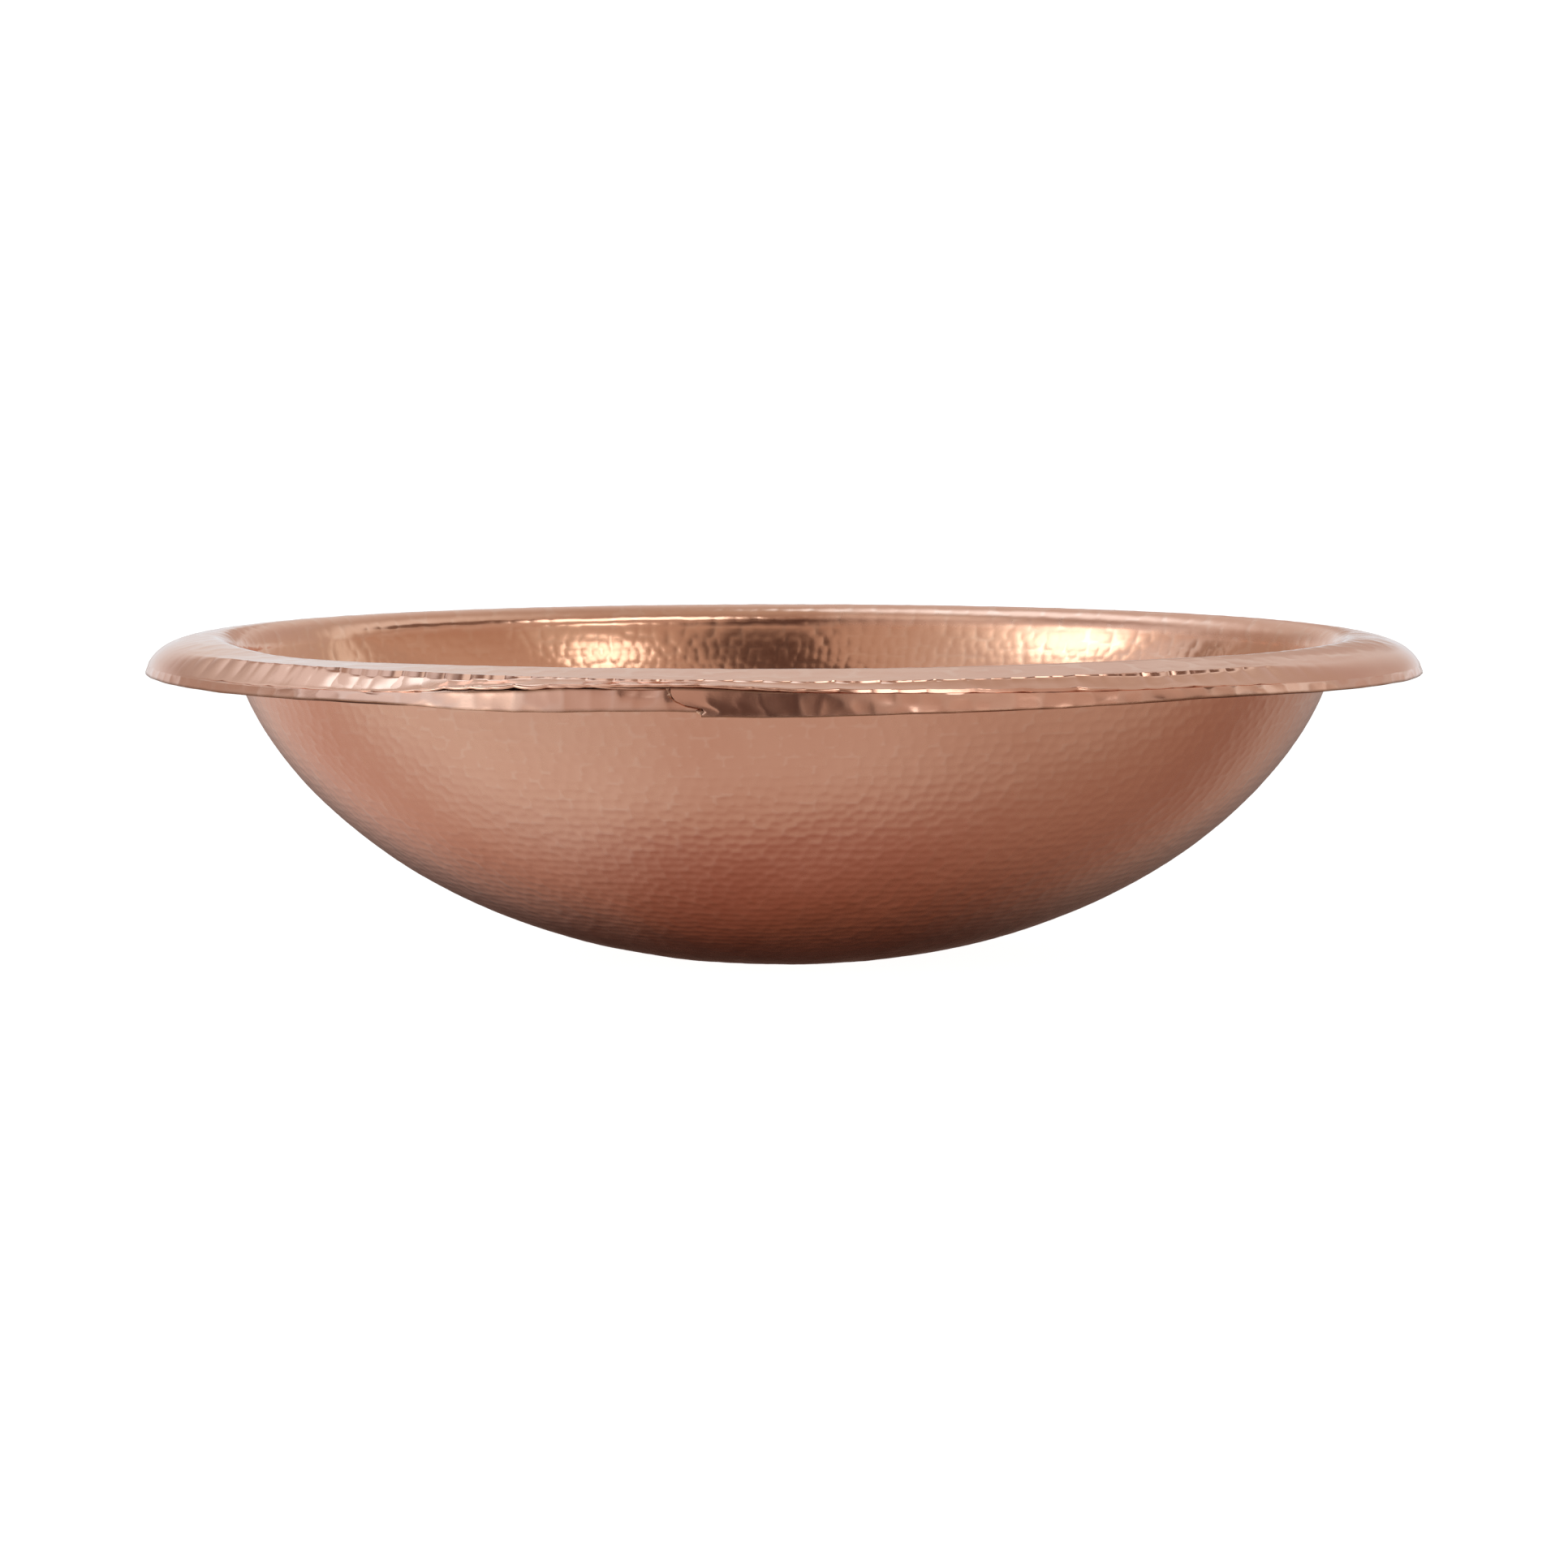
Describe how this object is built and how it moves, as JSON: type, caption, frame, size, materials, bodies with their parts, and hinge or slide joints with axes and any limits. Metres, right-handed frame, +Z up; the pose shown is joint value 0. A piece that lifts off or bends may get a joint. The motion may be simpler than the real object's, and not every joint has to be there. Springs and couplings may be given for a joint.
{
  "type": "oval wash basin",
  "caption": "Oval hammered copper wash basin: a rounded bowl with a wide flanged rim, turned-down skirt and central drain opening.",
  "frame": {"origin": "centre of the drain land's underside, which is the lowest face", "axes": "+Z up, +X along the oval's length, -Y to the front, where the skirt strip's ends lap"},
  "size_m": [0.4826, 0.3556, 0.122],
  "materials": {
    "shell_copper": "polished copper, hammered all over",
    "skirt_copper": "polished copper, hammered in long facets",
    "braze": "brazing alloy, filed and satin"
  },
  "bodies": {
    "root": {"bowl_shell": "shell_copper", "rim_skirt": "skirt_copper", "rim_braze": "braze", "lap_braze": "braze"}
  },
  "joints": []
}
